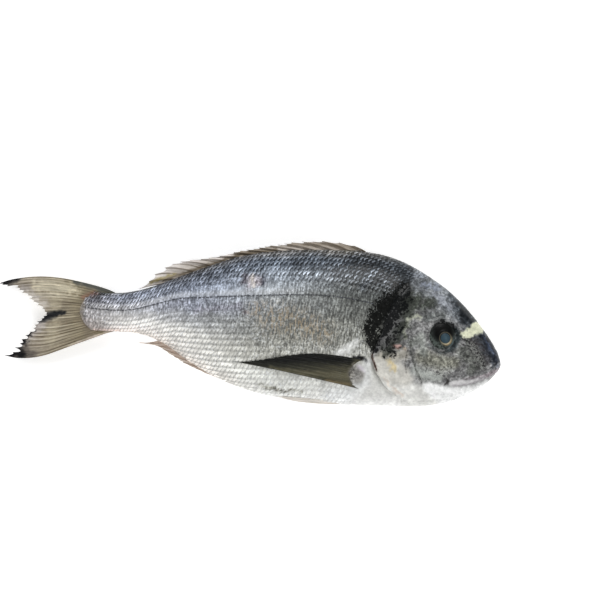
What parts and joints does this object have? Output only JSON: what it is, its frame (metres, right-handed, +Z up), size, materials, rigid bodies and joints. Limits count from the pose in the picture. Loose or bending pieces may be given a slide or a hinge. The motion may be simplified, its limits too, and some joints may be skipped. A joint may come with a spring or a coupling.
{
  "type": "whole raw fish",
  "caption": "Whole raw sea bream, ungutted with head and fins on, lying flat on its side with a forked tail and folded fins.",
  "frame": {"origin": "centre of the whole fish's footprint, on the surface that it lies on", "axes": "+X towards the snout, +Y towards the dorsal fin, +Z up, out of the right flank that faces up"},
  "size_m": [0.3198, 0.1032, 0.0413],
  "materials": {
    "skin": "wet silvery fish skin with a slate blue back and a white belly",
    "scales": "thin overlapping silvery scales, clear and glossy, darker on the back",
    "fin_web": "thin damp olive-beige web between darker bony rays",
    "eye": "wet clear dome over a black pupil and a dull gold iris"
  },
  "bodies": {
    "root": {"fish": "skin"}
  },
  "joints": []
}
